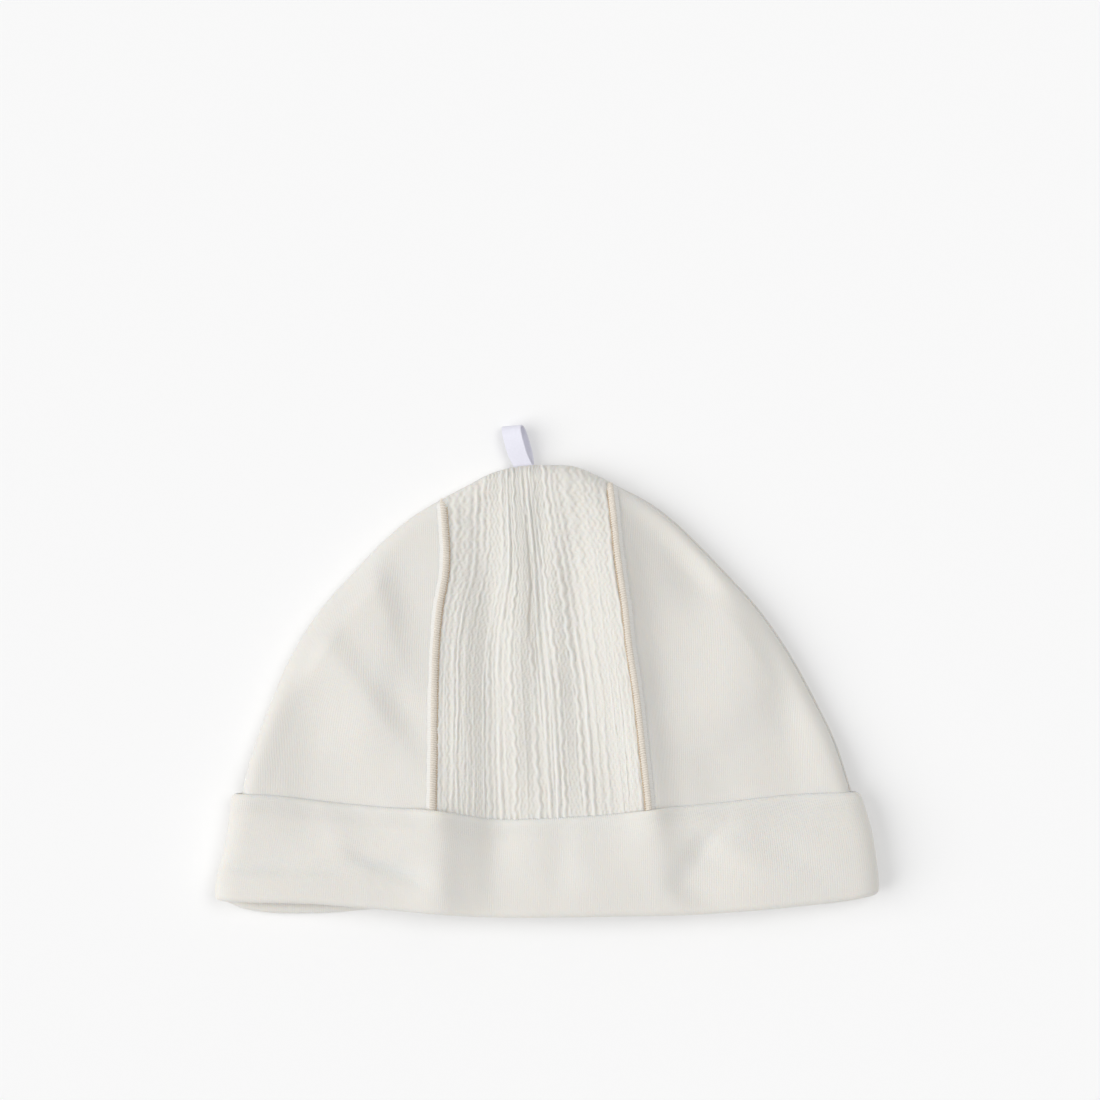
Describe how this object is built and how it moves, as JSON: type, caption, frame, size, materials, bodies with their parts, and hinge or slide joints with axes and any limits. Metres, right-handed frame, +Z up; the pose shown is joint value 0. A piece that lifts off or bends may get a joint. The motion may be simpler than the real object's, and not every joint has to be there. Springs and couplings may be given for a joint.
{
  "type": "baby nightcap",
  "caption": "Baby's knitted cotton nightcap lying flat: a domed crown with a crinkled front panel between raised seams, a turned-up cuff and a small ribbon loop on top.",
  "frame": {"origin": "on the surface that the cap lies on, under the middle of its back, halfway from the cuff's lower edge to the top of the crown", "axes": "+X across the cap's width, +Y from the head opening to the top of the crown, +Z up from the surface, out of the front"},
  "size_m": [0.1752, 0.1301, 0.0191],
  "materials": {
    "jersey": "matt ivory cotton interlock",
    "crinkle_knit": "matt ivory crinkled rib knit",
    "seam_thread": "ecru overlock stitching",
    "satin_ribbon": "white satin with a cool sheen"
  },
  "bodies": {
    "root": {"front_panel": "crinkle_knit", "left_panel": "jersey", "right_panel": "jersey", "back_panel": "jersey", "left_seam": "seam_thread", "right_seam": "seam_thread", "cuff": "jersey", "hanging_loop": "satin_ribbon"}
  },
  "joints": []
}
